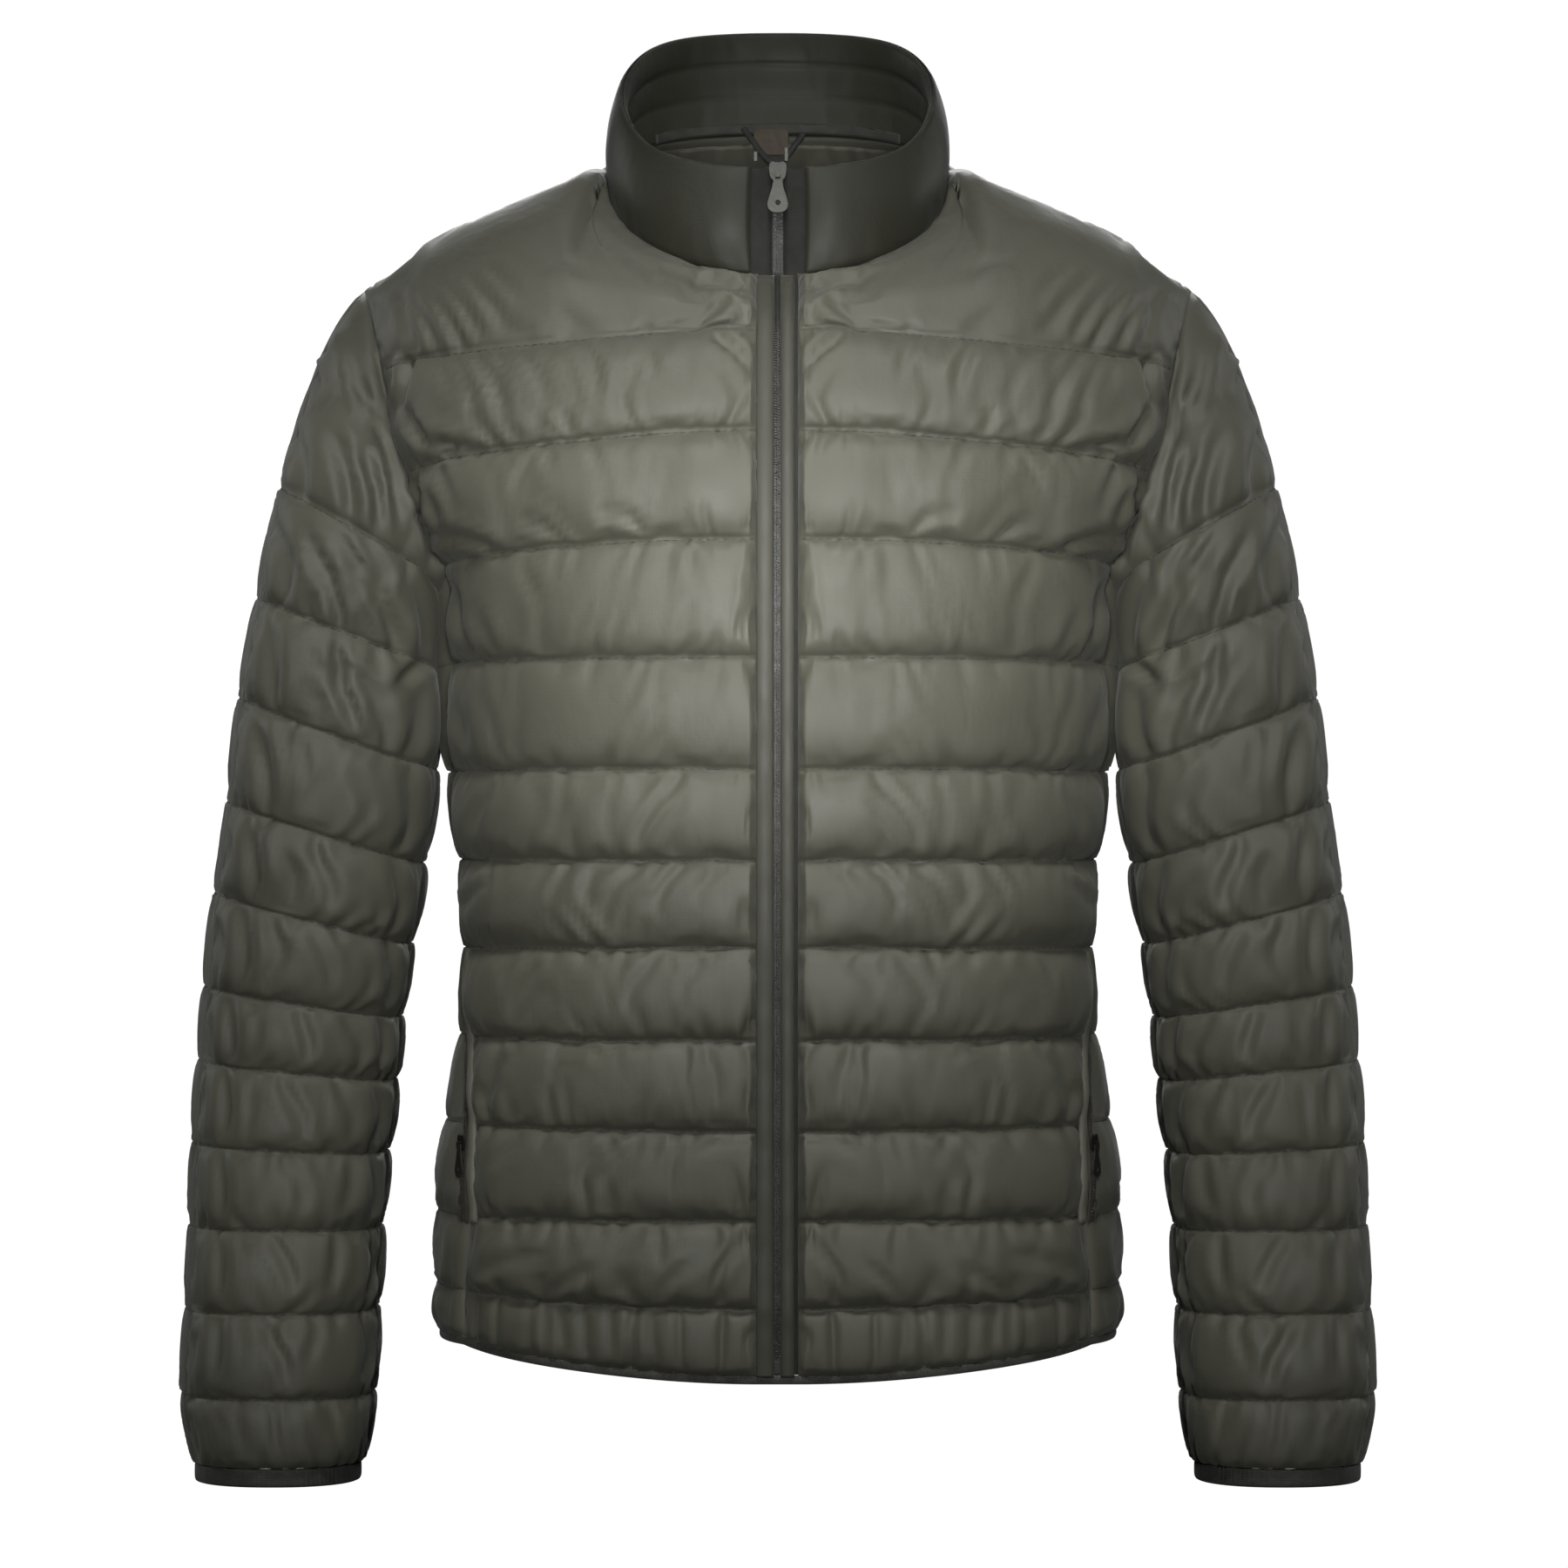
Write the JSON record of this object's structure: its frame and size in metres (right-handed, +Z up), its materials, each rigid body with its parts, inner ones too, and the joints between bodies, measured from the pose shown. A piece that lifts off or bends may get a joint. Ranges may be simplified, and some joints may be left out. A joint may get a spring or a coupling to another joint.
{
  "type": "puffer jacket",
  "caption": "Light quilted down jacket with stand collar, full front zip and zipped side pockets, filled out and hollow, arms hanging",
  "frame": {"origin": "the middle of the neck base, level with the side neck points, where the wearer holds the jacket", "axes": "+Z up, the front of the jacket faces -Y, the wearer's left is +X"},
  "size_m": [0.6756, 0.2859, 0.8186],
  "materials": {
    "shell": "semi-gloss nylon",
    "lining": "soft nylon",
    "trim": "matte elastic binding",
    "zip_tape": "matte tape",
    "metal": "satin nickel",
    "dark_metal": "dark nickel"
  },
  "bodies": {
    "jacket": {"front_l": "shell", "front_r": "shell", "back": "shell", "side_l": "shell", "side_r": "shell", "sleeve_front_l": "shell", "sleeve_front_r": "shell", "sleeve_back_l": "shell", "sleeve_back_r": "shell", "collar_outer": "shell", "edge_strip_l": "shell", "edge_strip_r": "shell", "pocket_welt_l": "shell", "pocket_welt_r": "shell", "collar_inner": "lining", "neck_lining": "lining", "hem_binding": "trim", "cuff_binding_l": "trim", "cuff_binding_r": "trim", "neck_tape": "trim", "neck_label": "trim", "zip_tape_l": "zip_tape", "zip_tape_r": "zip_tape", "zip_chain": "zip_tape", "pocket_zip_l": "zip_tape", "pocket_zip_r": "zip_tape", "hanger_loop": "zip_tape", "top_stop_l": "metal", "top_stop_r": "metal", "zip_slider": "metal", "bottom_box": "dark_metal", "pocket_slider_l": "dark_metal", "pocket_slider_r": "dark_metal"},
    "zip_pull": {"zip_pull": "metal"},
    "pocket_pull_l": {"pocket_pull_l": "metal"},
    "pocket_pull_r": {"pocket_pull_r": "metal"}
  },
  "joints": [
    {"name": "zip_pull_hinge", "type": "hinge", "parent": "jacket", "child": "zip_pull", "pos_m": [0, -0.0744, -0.00271], "axis": [-1, 0, 0], "range_deg": [0, 170]},
    {"name": "pocket_pull_l_hinge", "type": "hinge", "parent": "jacket", "child": "pocket_pull_l", "pos_m": [0.17519, -0.07229, -0.53663], "axis": [-0.5157, -0.8568, 0], "range_deg": [0, 170]},
    {"name": "pocket_pull_r_hinge", "type": "hinge", "parent": "jacket", "child": "pocket_pull_r", "pos_m": [-0.17519, -0.07229, -0.53663], "axis": [-0.5157, 0.8568, 0], "range_deg": [0, 170]}
  ]
}
